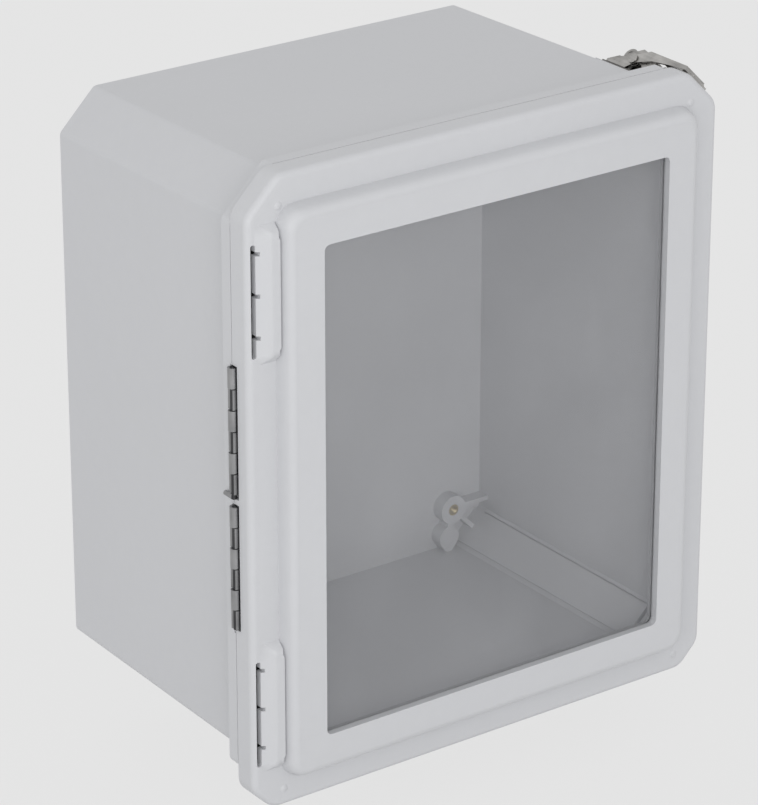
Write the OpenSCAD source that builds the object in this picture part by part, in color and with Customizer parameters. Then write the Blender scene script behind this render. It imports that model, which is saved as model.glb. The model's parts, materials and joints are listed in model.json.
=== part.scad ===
// Moulded fiberglass wall enclosure with a hinged window door and two padlockable draw latches.
// Origin: centre of the back face. +X right, +Z up, and the door faces -Y.

/* [Body] */
// Outer width of the body at its back face
back_w = 258; // [220:1:320]
// Outer height of the body at its back face
back_h = 306; // [260:1:380]
// Depth from the back face to the face of the mouth flange
body_depth = 160; // [140:1:220]
// Thickness of the body walls
body_wall = 3.4; // [2.5:0.1:5]
// Draft of each body wall, in degrees
draft = 0.8; // [0:0.1:1.5]
// Leg of the 45 degree cut along the four depth edges
body_leg = 20; // [18:0.5:24]
// Rounding of the body's depth edges
body_round = 4; // [1:0.5:6]
// Thickness of the mouth flange
flange_t = 7; // [4:0.5:10]
// Leg of the flange's corner cut
flange_leg = 23; // [20:0.5:26]
// Height of the sealing tongue in front of the flange
tongue_h = 4.6; // [3:0.1:6]

// Overhang of the flange and door past the body's sides
side_overhang = 7.3; // [5:0.1:12]
// Overhang of the flange and door past the body's top and bottom
end_overhang = 5.8; // [4:0.1:12]

/* [Panel bosses] */
// Distance of a panel insert from the body's side
panel_in_x = 26.2; // [24:0.2:40]
// Distance of a panel insert from the body's top or bottom
panel_in_z = 27; // [26:0.5:40]
// Radius of a panel boss
boss_r = 8; // [6:0.5:9]
// Height of a panel boss above the back wall
boss_h = 7.5; // [6:0.5:12]
// Distance of a wall insert from the body's side
wall_in_x = 29; // [26:0.5:40]
// Distance of a wall insert from the body's top or bottom
wall_in_z = 11.5; // [10.5:0.5:14]
// Radius of the lobe round a wall insert
lobe_r = 6.3; // [5.5:0.1:7]
// Thickness of the ribs on the bosses
rib_t = 2.4; // [2:0.2:4]
// Outer radius of a panel insert
panel_insert_r = 3.2; // [2.8:0.1:4]
// Thread radius of a panel insert
panel_thread_r = 2; // [1.5:0.1:2.4]
// Length of a panel insert
panel_insert_len = 7; // [5:0.5:8]
// Outer radius of a wall insert
wall_insert_r = 4.2; // [3.6:0.1:4.6]
// Thread radius of a wall insert
wall_thread_r = 2.6; // [2:0.1:3]
// Length of a wall insert
wall_insert_len = 8; // [6:0.5:9]

/* [Door] */
// Leg of the cuts at the door's top corners
door_leg_top = 18; // [12:0.5:20]
// Leg of the cuts at the door's bottom corners
door_leg_bottom = 12; // [11:0.5:20]
// Rounding at the ends of the door's corner cuts
door_round = 10; // [2:0.5:12]
// Thickness of the door's walls
door_wall = 3.2; // [2.5:0.1:4]
// Distance from the flange face to the front of the door's outer step
step_h = 13; // [11:0.5:18]
// Height of the raised panel above the step
panel_rise = 9; // [6:0.5:14]
// Width of the step beside the raised panel
step_x = 17.7; // [16:0.1:24]
// Width of the step above and below the raised panel
step_z = 17; // [15.5:0.1:24]
// Slope of the raised panel's sides, as extra width at its foot
raised_slope = 2; // [0.5:0.25:3]
// Corner radius of the raised panel
raised_corner = 9; // [5:0.5:14]
// Radius of the rolled front edge of the step
rim_round = 3.2; // [1:0.2:5]
// Radius of the raised panel's front edge
raised_round = 1.6; // [0.5:0.1:3]
// Gap between the skirt and the flange
seam_gap = 0.4; // [0.2:0.1:1]

/* [Window] */
// Width of the raised panel's border beside the window
border_x = 19.2; // [17:0.1:40]
// Width of the raised panel's border above and below the window
border_z = 18.9; // [17:0.1:40]
// Corner radius of the window opening
window_round = 3; // [2:0.5:10]
// Thickness of the pane
pane_t = 3; // [2:0.5:4]
// Thickness of the window gasket
window_gasket_t = 1.2; // [0.8:0.1:2]
// Thickness of the retainer frame
retainer_t = 2; // [1:0.25:2.5]
// Radius of the retainer's screw bosses
screw_boss_r = 2.9; // [2.6:0.1:3.2]
// Radius of the retainer's screws
screw_r = 1.5; // [1:0.1:1.8]

/* [Side pads] */
// Height of each pad's centre above and below the middle of the door
pad_z = 105; // [95:1:115]
// Length of a pad
pad_len = 68; // [60:1:76]
// Width of a pad
pad_w = 12.3; // [10.5:0.1:13]
// Width of a pad's front, next to its upright right side
pad_top_w = 8.1; // [6:0.1:9]
// Depth of the pad's front below the raised panel's front
pad_drop = 4.5; // [1:0.25:5]
// Length of the slot beside a pad
slot_len = 55.5; // [48:0.5:58]
// Distance of the slots and the corner bumps below their even places
slot_shift = 2.8; // [0:0.1:5]
// Width of the slot beside a pad
slot_w = 2.4; // [1.5:0.1:3]

/* [Hinge] */
// Radius of the hinge knuckles
knuckle_r = 2.3; // [2:0.1:2.6]
// Radius of the hinge pin
hinge_pin_r = 1.25; // [1:0.05:1.4]
// Distance from one knuckle to the next of the same leaf
knuckle_pitch = 21.3; // [18:0.1:22]
// Knuckles of each leaf in one length of hinge
knuckle_count = 3; // [2:1:3]
// Thickness of the hinge leaves
leaf_t = 1.2; // [1:0.1:1.4]
// Half height of the skirt's bridge between the two lengths of hinge
bridge_half = 1.4; // [1:0.1:3]

/* [Latch] */
// Thickness of the latch's sheet metal
sheet = 1.2; // [1:0.1:1.5]
// Half width between the outer faces of the base's ears
ear_half = 5; // [4.5:0.1:7]
// Distance from the flange's back to the front of the base plate
base_setback = 6; // [5:0.5:10]
// Length of the base plate
base_len = 36; // [34:0.5:40]
// Distance of the lever's pivot from the front of the base plate
pivot_setback = 8.5; // [7.5:0.5:12]
// Height of the lever's pivot above the pad
pivot_v = 9; // [8:0.1:10]
// Length of the lever from its pivot to its tip
lever_len = 27; // [25:0.5:30]
// Height of the lever's tip above the pad
tip_v = 3; // [2.8:0.1:4.5]
// Radius of the pivot rivets and the bail pin
latch_pin_r = 1.6; // [1.2:0.1:1.8]
// Distance of the bail pin behind the pivot
bail_back = 9; // [8.5:0.25:11]
// Distance of the bail pin below the pivot, past the dead centre
bail_drop = 2; // [1.2:0.1:2.8]
// Radius of the padlock hole
padlock_r = 3; // [2:0.1:3.2]
// Height of the keeper's lip above its plate
lip_h = 1.2; // [1:0.1:2.5]

/* [Hidden] */

$fn = 48;
fiberglass = "#c3c5c8";
steel = "#a8a9aa";
dark_steel = "#4a4b4e";
brass = "#b08d4a";
seal = "#3a3b3d";
clear = [0.85, 0.9, 0.92, 0.35];
// Overrun of a cut past the face that it leaves
over = 1;
// Running clearance of a pin in a moving hole
run_fit = 0.06;
// Side clearance between moving sheets
side_gap = 0.3;
// Steps in a 45 degree corner arc
arc_steps = 5;
// Least rounding left on an outline that is moved in
least_round = 0.5;
// Lap that joins two solids of one moulding
weld = 0.5;

mouth = body_depth + tongue_h;
seam = body_depth + seam_gap;
step_front = body_depth + step_h;
front_face = step_front + panel_rise;
body_grow = 2 * tan(draft);
function body_w_at(d) = back_w + d * body_grow;
function body_h_at(d) = back_h + d * body_grow;
door_w = body_w_at(body_depth) + 2 * side_overhang;
door_h = body_h_at(body_depth) + 2 * end_overhang;
raised_w = door_w - 2 * step_x;
raised_h = door_h - 2 * step_z;
window_w = raised_w - 2 * border_x;
window_h = raised_h - 2 * border_z;
// A cut corner keeps its wall when its outline moves in by t
function leg_in(leg, t) = leg - t * (2 - sqrt(2));

function unit(v) = v / norm(v);
// Arc that rounds the corner b of the counter-clockwise path a, b, c
function corner_arc(a, b, c, r) =
    let (u = unit(a - b), v = unit(c - b), half = acos(u * v) / 2)
    let (centre = b + unit(u + v) * r / sin(half), first = b + u * r / tan(half) - centre)
    let (start = atan2(first.y, first.x), turn = 180 - 2 * half)
    [for (i = [0:arc_steps]) centre + r * [cos(start + turn * i / arc_steps), sin(start + turn * i / arc_steps)]];
function rounded(path, r) =
    let (n = len(path))
    [for (i = [0:n - 1]) each corner_arc(path[(i + n - 1) % n], path[i], path[(i + 1) % n], r)];
function moved(path, by) = [for (p = path) p + by];
function box_path(w, h) = [[w, -h], [w, h], [-w, h], [-w, -h]] / 2;
function cut_path(w, h, top, bottom) = [
    [w / 2, bottom - h / 2], [w / 2, h / 2 - top], [w / 2 - top, h / 2], [top - w / 2, h / 2],
    [-w / 2, h / 2 - top], [-w / 2, bottom - h / 2], [bottom - w / 2, -h / 2], [w / 2 - bottom, -h / 2]];
// Outline with cut corners, moved in by t on every side
function cut_outline(w, h, top, bottom, r, t) =
    rounded(cut_path(w - 2 * t, h - 2 * t, leg_in(top, t), leg_in(bottom, t)), max(r - t, least_round));
function body_section(d, t) = cut_outline(body_w_at(d), body_h_at(d), body_leg, body_leg, body_round, t);

// Draws children in the frame of the front view: x right, y up, z forward from the back face
module facing_front() {
    rotate([90, 0, 0]) children();
}

// Solid through outlines with equal numbers of points, each given as [outline, height]
module loft(sections) {
    n = len(sections[0][0]);
    last = len(sections) - 1;
    points = [for (s = sections) for (p = s[0]) [p.x, p.y, s[1]]];
    sides = [for (k = [0:last - 1]) for (i = [0:n - 1])
        [k * n + i, (k + 1) * n + i, (k + 1) * n + (i + 1) % n, k * n + (i + 1) % n]];
    bottom = [for (i = [0:n - 1]) i];
    top = [for (i = [n - 1:-1:0]) last * n + i];
    polyhedron(points, concat([bottom], sides, [top]), convexity = 6);
}

module slab(from, to) {
    translate([0, 0, from]) linear_extrude(to - from) children();
}

module four_corners() {
    for (flip_x = [0, 1], flip_z = [0, 1]) mirror([flip_x, 0, 0]) mirror([0, flip_z, 0]) children();
}

// Panel bosses and wall bosses
inner_back = body_wall;
boss_top = inner_back + boss_h;
boss_x = back_w / 2 - panel_in_x;
boss_z = back_h / 2 - panel_in_z;
lobe_x = back_w / 2 - wall_in_x;
lobe_z = back_h / 2 - wall_in_z;
lobe_tip = back_h / 2 - body_wall + over;
lobe_shoulder = lobe_r * 0.86;
side_inner = back_w / 2 - body_wall + over;
diagonal_rib = ((back_w + back_h) / 2 - body_leg - boss_x - boss_z) / sqrt(2) - body_wall + over;

// One corner's panel boss, its two ribs, the neck and the leaf-shaped wall boss, in the front view's frame
module corner_boss() {
    slab(inner_back - over, boss_top) {
        translate([boss_x, boss_z]) circle(boss_r);
        translate([boss_x, boss_z - rib_t]) square([side_inner - boss_x, rib_t]);
        translate([boss_x, boss_z]) rotate(45) translate([0, -rib_t / 2]) square([diagonal_rib, rib_t]);
        polygon([[boss_x - rib_t, boss_z], [boss_x + rib_t / 2, boss_z], [lobe_x + rib_t, lobe_z], [lobe_x - rib_t, lobe_z]]);
        translate([lobe_x, lobe_z]) circle(lobe_r);
        polygon([[lobe_x - lobe_shoulder, lobe_z + lobe_r - lobe_shoulder / 2],
            [lobe_x + lobe_shoulder, lobe_z + lobe_r - lobe_shoulder / 2], [lobe_x + rib_t / 2, lobe_tip],
            [lobe_x - rib_t / 2, lobe_tip]]);
    }
}

// Latch frame: x along the cut edge's width, y forward from the back face, z out of the body's cut edge
mouth_sum = (body_w_at(body_depth) + body_h_at(body_depth)) / 2 - body_leg;
pad_lift = 0.6;
pad_v = mouth_sum / sqrt(2) + pad_lift;
latch_w = (back_h - back_w) / 2 / sqrt(2);
// Height of the door's cut corner above the latch pad, at the top and the bottom of the door
function door_v(side) = ((door_w + door_h) / 2 - (side > 0 ? door_leg_top : door_leg_bottom)) / sqrt(2) - pad_v;

module at_latch(side) {
    mirror([0, 0, side < 0 ? 1 : 0]) rotate([0, 45, 0]) rotate([0, 0, 180]) translate([latch_w, 0, pad_v]) children();
}

// Solid from an outline in the latch's side view, given as [forward, out], between two places across the latch
module side_sheet(from, to) {
    translate([from, 0, 0]) rotate([90, 0, 90]) linear_extrude(to - from) children();
}

// Both cheeks of a part that is symmetric across the latch
module cheeks(inner, outer) {
    side_sheet(inner, outer) children();
    side_sheet(-outer, -inner) children();
}

base_front = body_depth - flange_t - base_setback;
base_back = base_front - base_len;
lever_in = ear_half + side_gap;
lever_out = lever_in + sheet;
bail_in = lever_out + side_gap;
bail_out = bail_in + sheet;
base_half = bail_out + side_gap;
pivot_d = base_front - pivot_setback;
bail_d = pivot_d - bail_back;
bail_v = pivot_v - bail_drop;
lever_tip_d = pivot_d - lever_len;
// Ridge of the lever, where its top turns down towards the pivot, and its nose in front of the ridge
peak_back = 8;
peak_rise = 5.2;
nose_back = 4.4;
nose_drop = 0.8;
peak_d = pivot_d - peak_back;
peak_v = pivot_v + peak_rise;
nose_d = pivot_d - nose_back;
nose_v = peak_v - nose_drop;
// Metal left round the bail pin and the pivot in the lever, the bail and the base's ears
lug_wall = 1.3;
lever_end_wall = 3;
arm_eye_wall = 1.2;
ear_wall = 1.8;
lug_r = latch_pin_r + lug_wall;
lever_end_r = latch_pin_r + lever_end_wall;
arm_eye = latch_pin_r + arm_eye_wall;
ear_top_r = latch_pin_r + ear_wall;
ear_foot = ear_top_r + ear_wall;
// Room between the base plate and the lever's lower edge
lever_room = 0.6;
lever_low = sheet + lever_room;
// Padlock tongue, whose hole lines up with a notch in the lever's cheeks
eye_wall = 1.3;
eye_in = 7;
eye_rise = 7;
eye_r = padlock_r + eye_wall;
eye_d = lever_tip_d + eye_in;
eye_v = tip_v + eye_rise;
eye_half = 1;
tongue_gap = 0.6;
latch_rivet_r = 1.7;
latch_rivet_head = 2.8;
head_t = 1;
pin_head_r = latch_pin_r + head_t;
rivet_behind = 1;
rivet_ahead = 1.5;
base_rivets = [bail_d - rivet_behind, pivot_d + rivet_ahead];
// Margin of the moulded pad round the base plate
pad_margin = 1.5;
pad_half = base_half + pad_margin;
pad_back = base_back - 2 * pad_margin;
// Backing pads inside the body behind the latches
backing_t = 1.5;
backing_half = 10;
backing_front = body_depth - flange_t - 5;
// Narrow groove in the wall along the backing pad's outer edge and round its front end
groove_w = 0.8;
groove_deep = 0.9;
// Depth of a base rivet's blind hole in the thickened corner
base_bite = 4.2;

// Keeper on the door's cut corner, and the hook of the bail in front of its lip
hook_gap = 0.6;
keeper_set = 0.8;
keeper_len = 8;
keeper_half = bail_in - 2 * side_gap;
keeper_back = seam + keeper_set;
keeper_front = keeper_back + keeper_len;
lip_front = keeper_back + sheet;
hook_back = lip_front + hook_gap;
hook_front = hook_back + sheet;
hook_lift = 0.5;
function keeper_v(side) = door_v(side) + sheet;
function lip_top(side) = keeper_v(side) + lip_h;
function bail_plate_v(side) = lip_top(side) + side_gap;
function bail_top(side) = bail_plate_v(side) + sheet;
keeper_rivet_r = 1;
keeper_rivet_head = 1.7;
keeper_head_t = 0.6;
keeper_rivet_in = keeper_rivet_head + weld;
keeper_rivet_d = keeper_front - keeper_rivet_in;
keeper_rivet_w = keeper_half - keeper_rivet_in;
// Depth of a keeper rivet's blind hole in the door's wall
keeper_bite = 2.4;
// Bail: its arms rise to a crest in front of the lever's nose and run level to the hook
crest_d = pivot_d - rivet_ahead;
bail_plate_back = crest_d + nose_back;
arm_deep = 3;
knee_d = bail_plate_back;
knee_deep = 4.5;
rise_d = body_depth - flange_t + over;

module enclosure_body() {
    color(fiberglass) difference() {
        union() {
            difference() {
                union() {
                    facing_front() loft([[body_section(0, 0), 0], [body_section(mouth, 0), mouth]]);
                    facing_front() slab(body_depth - flange_t, body_depth)
                        polygon(cut_outline(door_w, door_h, flange_leg, flange_leg, body_round, 0));
                    for (side = [-1, 1]) at_latch(side) translate([-pad_half, pad_back, -body_leg / 2])
                        cube([2 * pad_half, body_depth - over - pad_back, body_leg / 2]);
                }
                facing_front() cavity(body_wall);
            }
            facing_front() four_corners() corner_boss();
            for (side = [-1, 1]) intersection() {
                at_latch(side) translate([-backing_half, inner_back - over, -body_leg])
                    cube([2 * backing_half, backing_front - inner_back + over, body_leg - body_wall / 2]);
                facing_front() difference() {
                    loft([[body_section(0, over), 0], [body_section(mouth, over), mouth]]);
                    cavity(body_wall + backing_t);
                }
            }
        }
        facing_front() four_corners() {
            translate([boss_x, boss_z, boss_top - panel_insert_len]) cylinder(r = panel_insert_r, h = panel_insert_len + over);
            translate([lobe_x, lobe_z, -over]) cylinder(r = wall_insert_r, h = wall_insert_len + over);
        }
        for (side = [-1, 1]) at_latch(side) for (d = base_rivets) translate([0, d, -base_bite])
            cylinder(r = latch_rivet_r, h = base_bite + over);
        for (side = [-1, 1]) intersection() {
            at_latch(side) translate([-backing_half - groove_w, boss_top, -body_leg]) {
                cube([groove_w, backing_front + groove_w - boss_top, body_leg]);
                translate([0, backing_front - boss_top, 0]) cube([2 * backing_half + groove_w, groove_w, body_leg]);
            }
            facing_front() cavity(body_wall - groove_deep);
        }
        for (side = [-1, 1]) hinge_at(side) {
            translate([0, 0, -tail_room]) cylinder(r = knuckle_r + knuckle_room, h = hinge_len + tail_room + hinge_relief);
            for (z = body_rivet_z) translate([leaf_rivet_x, leaf_rivet_deep, z]) rotate([-90, 0, 0])
                cylinder(r = leaf_rivet_r, h = leaf_t + flange_t + over);
        }
    }
}

// Space inside walls of thickness t, open at the mouth
module cavity(t) {
    loft([[body_section(inner_back, t), inner_back], [body_section(mouth + over, t), mouth + over]]);
}

module panel_inserts() {
    color(brass) facing_front() four_corners() translate([boss_x, boss_z, boss_top - panel_insert_len]) difference() {
        cylinder(r = panel_insert_r, h = panel_insert_len);
        translate([0, 0, -over]) cylinder(r = panel_thread_r, h = panel_insert_len + 2 * over);
    }
}

module wall_inserts() {
    color(brass) facing_front() four_corners() translate([lobe_x, lobe_z, 0]) difference() {
        cylinder(r = wall_insert_r, h = wall_insert_len);
        translate([0, 0, -over]) cylinder(r = wall_thread_r, h = wall_insert_len + 2 * over);
    }
}

// Hinge frame: origin at the lower end of one hinge length, on the hinge axis, z up
// Distance of the hinge axis outside the door's left side
axis_out = 0.6;
hinge_x = -door_w / 2 - axis_out;
hinge_ahead = 1.2;
hinge_d = body_depth + hinge_ahead;
// Room round the knuckles in the flange, and in front of them in the skirt
knuckle_room = 0.4;
skirt_room = 0.7;
// Length of the pin's bent tail, and its gap to the door's side
tail_len = 6;
tail_gap = 0.1;
half_pitch = knuckle_pitch / 2;
knuckle_gap = 0.5;
knuckle_len = half_pitch - knuckle_gap;
hinge_len = knuckle_count * knuckle_pitch;
hinge_relief = 0.6;
// Room under each length of hinge, where the upper pin's tail is bent back
tail_room = 2.7;
body_leaf_inner = 7;
leaf_rivet_x = 4.7;
leaf_rivet_r = 1;
leaf_rivet_head = 1.9;
leaf_rivet_head_t = 0.8;
leaf_rivet_deep = hinge_d - body_depth - leaf_t;
door_leaf_x0 = axis_out + door_wall;
door_strip_near = 1.2;
door_leaf_near = 1.9;
door_leaf_far = 8.2;
door_screw_y = 5.4;
door_screw_r = 1;
door_screw_head = 1.8;
door_screw_head_t = 1.4;
door_screw_len = door_wall - over;
curl_open = 55;
// Middles of the body leaf's and the door leaf's knuckles
body_rivet_z = [for (i = [0:knuckle_count - 1]) half_pitch * (2 * i + 1.5)];
door_knuckle_z = [for (i = [0:knuckle_count - 1]) half_pitch * (2 * i + 0.5)];

// The lower length is the upper one moved down, so both start with the same knuckle
module hinge_at(side) {
    translate([hinge_x, -hinge_d, side > 0 ? bridge_half + tail_room : -bridge_half - hinge_relief - hinge_len]) children();
}

// Ring of one knuckle, centred on z, cut through by the pin's hole
module knuckle(z, hole_r) {
    translate([0, 0, z - knuckle_len / 2]) difference() {
        children();
        translate([0, 0, -over]) cylinder(r = hole_r, h = knuckle_len + 2 * over);
    }
}

module hinge_body_leaf(side) {
    color(steel) hinge_at(side) difference() {
        union() {
            for (z = body_rivet_z) {
                knuckle(z, hinge_pin_r) {
                    union() {
                        cylinder(r = knuckle_r, h = knuckle_len);
                        translate([0, leaf_rivet_deep, 0]) cube([knuckle_r + over, leaf_t, knuckle_len]);
                    }
                }
            }
            translate([knuckle_r + knuckle_room, leaf_rivet_deep, 0])
                cube([body_leaf_inner - knuckle_r - knuckle_room, leaf_t, hinge_len]);
        }
        for (z = body_rivet_z) translate([leaf_rivet_x, leaf_rivet_deep + leaf_t + over, z]) rotate([90, 0, 0])
            cylinder(r = leaf_rivet_r, h = leaf_t + 2 * over);
    }
}

module hinge_body_rivets() {
    color(steel) for (side = [-1, 1]) hinge_at(side) for (z = body_rivet_z)
        translate([leaf_rivet_x, leaf_rivet_deep, z]) rotate([90, 0, 0]) {
            translate([0, 0, -leaf_t - flange_t]) cylinder(r = leaf_rivet_r, h = leaf_t + flange_t);
            cylinder(r = leaf_rivet_head, h = leaf_rivet_head_t);
            translate([0, 0, -leaf_t - flange_t - leaf_rivet_head_t]) cylinder(r = leaf_rivet_head, h = leaf_rivet_head_t);
        }
}

// Pin with its free end at the bridge bent back along the flange's edge
module hinge_pin(side) {
    tail_x = axis_out - tail_gap - hinge_pin_r;
    tail_z = -hinge_pin_r;
    color(dark_steel) hinge_at(side) {
        cylinder(r = hinge_pin_r, h = hinge_len);
        if (side > 0) {
            translate([0, 0, tail_z - hinge_pin_r]) cylinder(r = hinge_pin_r, h = 2 * hinge_pin_r);
            translate([tail_x, 0, tail_z]) rotate([-90, 0, 0]) cylinder(r = hinge_pin_r, h = tail_len);
        }
    }
}

module hinge_door_leaf(side) {
    color(steel) hinge_at(side) difference() {
        union() {
            for (z = door_knuckle_z) {
                knuckle(z, hinge_pin_r + run_fit) {
                    difference() {
                        cylinder(r = knuckle_r, h = knuckle_len);
                        translate([0, 0, -over]) linear_extrude(knuckle_len + 2 * over)
                            polygon([[0, 0], 4 * knuckle_r * [-cos(curl_open), -sin(curl_open)],
                                [-4 * knuckle_r, 0], 4 * knuckle_r * [-cos(curl_open), sin(curl_open)]]);
                    }
                }
                translate([hinge_pin_r + run_fit, -door_strip_near - leaf_t, z - knuckle_len / 2])
                    cube([door_leaf_x0 + leaf_t - hinge_pin_r - run_fit, leaf_t, knuckle_len]);
            }
            translate([door_leaf_x0, -door_leaf_far, 0]) cube([leaf_t, door_leaf_far - door_leaf_near, hinge_len]);
        }
        for (z = body_rivet_z) translate([door_leaf_x0 - over, -door_screw_y, z]) rotate([0, 90, 0])
            cylinder(r = door_screw_r, h = leaf_t + 2 * over);
    }
}

module hinge_door_screws() {
    color(steel) for (side = [-1, 1]) hinge_at(side) for (z = body_rivet_z)
        translate([door_leaf_x0 - door_screw_len, -door_screw_y, z]) rotate([0, 90, 0]) {
            cylinder(r = door_screw_r, h = door_screw_len + leaf_t);
            translate([0, 0, door_screw_len + leaf_t]) cylinder(r = door_screw_head, h = door_screw_head_t);
        }
}

// Base plate with pivot ears at its front and a padlock tongue at its back
module latch_base(side) {
    tongue_foot = eye_r - eye_half;
    color(steel) at_latch(side) difference() {
        union() {
            translate([-base_half, base_back, 0]) cube([2 * base_half, base_len, sheet]);
            cheeks(ear_half - sheet, ear_half) {
                translate([pivot_d, pivot_v]) circle(ear_top_r);
                polygon([[pivot_d - ear_foot, sheet / 2], [pivot_d + ear_foot, sheet / 2], [pivot_d + ear_top_r, pivot_v],
                    [pivot_d - ear_top_r, pivot_v]]);
            }
            side_sheet(-eye_half, eye_half) {
                translate([eye_d, eye_v]) circle(eye_r);
                polygon([[eye_d - tongue_foot, sheet / 2], [eye_d + tongue_foot, sheet / 2], [eye_d + eye_r, eye_v],
                    [eye_d - eye_r, eye_v]]);
            }
        }
        side_sheet(-base_half - over, base_half + over) {
            translate([pivot_d, pivot_v]) circle(latch_pin_r);
            translate([eye_d, eye_v]) circle(padlock_r);
        }
        for (d = base_rivets) translate([0, d, -over]) cylinder(r = latch_rivet_r, h = sheet + 2 * over);
    }
}

module latch_base_rivets() {
    color(steel) for (side = [-1, 1]) at_latch(side) for (d = base_rivets) translate([0, d, 0]) {
        translate([0, 0, -base_bite]) cylinder(r = latch_rivet_r, h = base_bite + sheet);
        translate([0, 0, sheet]) cylinder(r = latch_rivet_head, h = head_t);
    }
}

module lever_pivots(side) {
    color(steel) at_latch(side) cheeks(ear_half - sheet - head_t, lever_out) {
        translate([pivot_d, pivot_v]) circle(latch_pin_r);
    }
    color(steel) at_latch(side) cheeks(ear_half - sheet - head_t, ear_half - sheet) {
        translate([pivot_d, pivot_v]) circle(pin_head_r);
    }
}

// Side view of the lever's cheeks and of its top plate
lever_cheek = [[lever_tip_d, lever_low], [bail_d - lug_r - over, lever_low], [bail_d, bail_v - over],
    [pivot_d, pivot_v], [nose_d, nose_v], [peak_d, peak_v], [lever_tip_d, tip_v]];
lever_top = [[lever_tip_d, tip_v], [lever_tip_d, tip_v - sheet], [peak_d, peak_v - sheet], [nose_d, nose_v - sheet],
    [nose_d, nose_v], [peak_d, peak_v]];

module latch_lever(side) {
    color(steel) at_latch(side) difference() {
        union() {
            cheeks(lever_in, lever_out) {
                polygon(lever_cheek);
                translate([pivot_d, pivot_v]) circle(lever_end_r);
                translate([bail_d, bail_v]) circle(lug_r);
            }
            side_sheet(-lever_out, lever_out) polygon(lever_top);
        }
        side_sheet(-lever_out - over, lever_out + over) {
            translate([pivot_d, pivot_v]) circle(latch_pin_r + run_fit);
            translate([bail_d, bail_v]) circle(latch_pin_r);
            translate([eye_d, eye_v]) circle(padlock_r + side_gap);
        }
        translate([-eye_half - tongue_gap, eye_d - eye_r - tongue_gap, 0])
            cube([2 * (eye_half + tongue_gap), 2 * (eye_r + tongue_gap) + over, peak_v]);
    }
}

module bail_pin(side) {
    pin_half = bail_out + side_gap / 3;
    color(steel) at_latch(side) {
        side_sheet(-pin_half, pin_half) translate([bail_d, bail_v]) circle(latch_pin_r);
        cheeks(pin_half, pin_half + head_t) translate([bail_d, bail_v]) circle(pin_head_r);
    }
}

// Bail: two arms outside the lever, joined in front by a plate with a hook that drops over the keeper's lip
module latch_bail(side) {
    top = bail_top(side);
    low = bail_plate_v(side);
    color(steel) at_latch(side) difference() {
        union() {
            cheeks(bail_in, bail_out) {
                translate([bail_d, bail_v]) circle(arm_eye);
                polygon([[bail_d, bail_v - arm_eye], [bail_d + arm_eye, bail_v - over], [knee_d, top - knee_deep],
                    [rise_d, top - arm_deep], [hook_front, low - over], [hook_front, top], [crest_d, top],
                    [bail_d, bail_v + arm_eye]]);
            }
            side_sheet(-bail_out, bail_out) polygon([[bail_plate_back, low], [hook_back, low],
                [hook_back, keeper_v(side) + hook_lift], [hook_front, keeper_v(side) + hook_lift], [hook_front, top],
                [bail_plate_back, top]]);
        }
        side_sheet(-bail_out - over, bail_out + over) translate([bail_d, bail_v]) circle(latch_pin_r + run_fit);
    }
}

module keeper(side) {
    foot = door_v(side);
    plate = keeper_v(side);
    color(steel) at_latch(side) difference() {
        side_sheet(-keeper_half, keeper_half) polygon([[keeper_back, foot], [keeper_front, foot], [keeper_front, plate],
            [lip_front, plate], [lip_front, lip_top(side)], [keeper_back, lip_top(side)]]);
        for (w = [-1, 1]) translate([w * keeper_rivet_w, keeper_rivet_d, foot - over])
            cylinder(r = keeper_rivet_r, h = sheet + 2 * over);
    }
}

module keeper_rivets() {
    color(steel) for (side = [-1, 1]) at_latch(side) for (w = [-1, 1])
        translate([w * keeper_rivet_w, keeper_rivet_d, door_v(side)]) {
            translate([0, 0, -keeper_bite]) cylinder(r = keeper_rivet_r, h = keeper_bite + sheet);
            translate([0, 0, sheet]) cylinder(r = keeper_rivet_head, h = keeper_head_t);
        }
}

// Door outlines, and the steps round the step's rolled edge and round the raised panel's front edge
rim_turns = [24, 46, 68, 90];
edge_turns = [45, 90];
raised_foot_w = raised_w + 2 * raised_slope;
raised_foot_h = raised_h + 2 * raised_slope;
function door_section(t) = cut_outline(door_w, door_h, door_leg_top, door_leg_bottom, door_round, t);
function raised_section(grow) = rounded(box_path(raised_w + 2 * grow, raised_h + 2 * grow), raised_corner + grow);
gasket_w = body_w_at(mouth) - 2 * body_wall;
gasket_h = body_h_at(mouth) - 2 * body_wall;
gasket_leg = leg_in(body_leg, body_wall);
gasket_lap = 2.2;
gasket_rib_t = 1.6;
gasket_rib_h = 4;
gasket_out = 0.4;
function gasket_section(t) = cut_outline(gasket_w, gasket_h, gasket_leg, gasket_leg, body_round, t);
plate_back = step_front - door_wall;
panel_back = front_face - door_wall;
pane_back = panel_back - window_gasket_t - pane_t;
retainer_back = pane_back - retainer_t;
recess_w = raised_w - 2 * door_wall;
recess_h = raised_h - 2 * door_wall;
recess_corner = raised_corner - door_wall;
retainer_gap = 0.8;
// Setback of the window gasket from the edge of the opening; the retainer stands back twice as far
sight_gap = 1;
// Room beside the pane for the screw bosses
screw_room = 2 * screw_boss_r + 2 * retainer_gap;
pane_w = recess_w - 2 * screw_room;
pane_h = recess_h - 2 * screw_room;
screw_x = recess_w / 2 - screw_boss_r - retainer_gap;
screw_z = recess_h / 2 - screw_boss_r - retainer_gap;
side_screws = [-1.5, -0.5, 0.5, 1.5] * window_h / 4;
top_screws = [-1, 0, 1] * window_w / 3;
screw_places = concat([for (s = [-1, 1], z = side_screws) [s * screw_x, z]],
    [for (s = [-1, 1], x = top_screws) [x, s * screw_z]]);
screw_bite = 5;
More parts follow.
